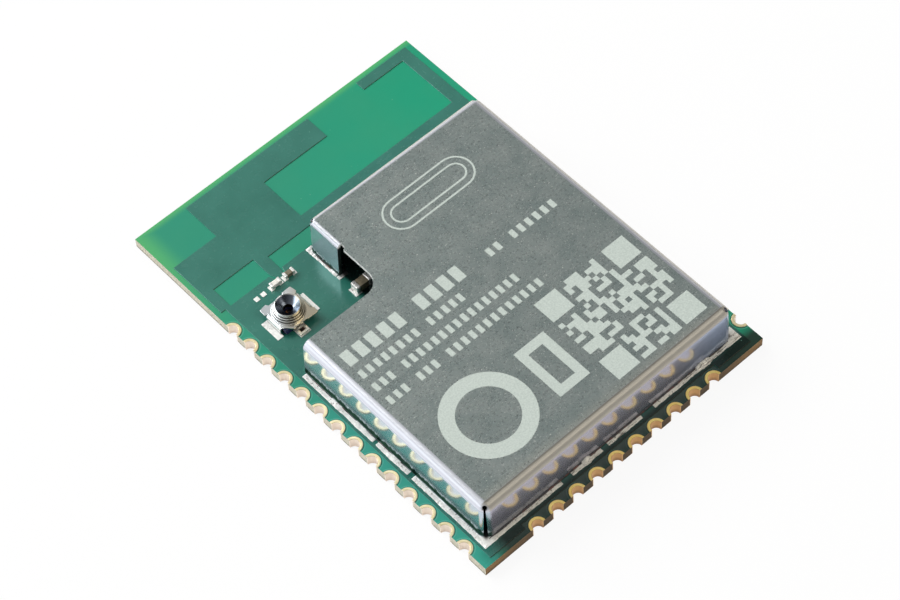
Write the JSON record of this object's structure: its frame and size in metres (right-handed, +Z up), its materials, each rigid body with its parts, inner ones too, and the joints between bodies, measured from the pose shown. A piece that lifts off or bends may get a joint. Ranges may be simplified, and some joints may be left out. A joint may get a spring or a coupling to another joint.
{
  "type": "wireless radio module",
  "caption": "Surface-mount radio module: a green board with half-hole terminals on three edges, an etched antenna, a folded shield can and a coaxial test connector.",
  "frame": {"origin": "middle of the underside of the board", "axes": "+X across the board, +Y along it towards the antenna end, +Z up through the shield can"},
  "size_m": [0.018, 0.0254, 0.0031],
  "materials": {
    "laminate": "green solder mask over woven glass laminate, satin",
    "masked_copper": "copper under green solder mask, satin",
    "gold_plating": "thin gold over nickel, satin",
    "can_sheet": "matt tinned sheet, smooth and bright on the walls",
    "solder": "bright reflowed solder, slightly uneven",
    "coax_metal": "polished plated metal",
    "coax_plastic": "dark moulded plastic",
    "clip_metal": "plated copper alloy, satin",
    "ceramic_white": "fired ceramic, matt",
    "ceramic_brown": "fired ceramic, matt",
    "ceramic_dark": "fired ceramic, matt",
    "end_cap": "tinned, satin",
    "mould_black": "black moulding compound, matt",
    "package_green": "small laminate carrier",
    "lid_metal": "satin metal lid"
  },
  "bodies": {
    "root": {"board": "laminate", "top_copper": "masked_copper", "terminals_left": "gold_plating", "terminals_front": "gold_plating", "terminals_right": "gold_plating", "ground_pads": "gold_plating", "shield_can": "can_sheet", "seam_left": "solder", "seam_front": "solder", "seam_right": "solder", "seam_back": "solder", "seam_notch": "solder", "coax_lands": "solder", "coax_base": "coax_plastic", "coax_shell": "coax_metal", "coax_clip": "clip_metal", "coax_pin": "gold_plating", "feed_pads": "solder", "feed_capacitor": "ceramic_brown", "feed_capacitor_caps": "end_cap", "feed_inductor": "ceramic_white", "feed_inductor_caps": "end_cap", "notch_pads": "solder", "notch_capacitor": "ceramic_brown", "notch_capacitor_caps": "end_cap", "radio_processor": "package_green", "processor_lid": "mould_black", "flash_memory": "mould_black", "crystal_base": "ceramic_white", "crystal_lid": "lid_metal", "clock_crystal": "lid_metal", "inductor_cores": "ceramic_dark", "inductor_caps": "end_cap", "band_filter": "mould_black", "decoupling_bodies": "ceramic_brown", "decoupling_caps": "end_cap", "resistor_bodies": "ceramic_dark", "resistor_caps": "end_cap"}
  },
  "joints": []
}
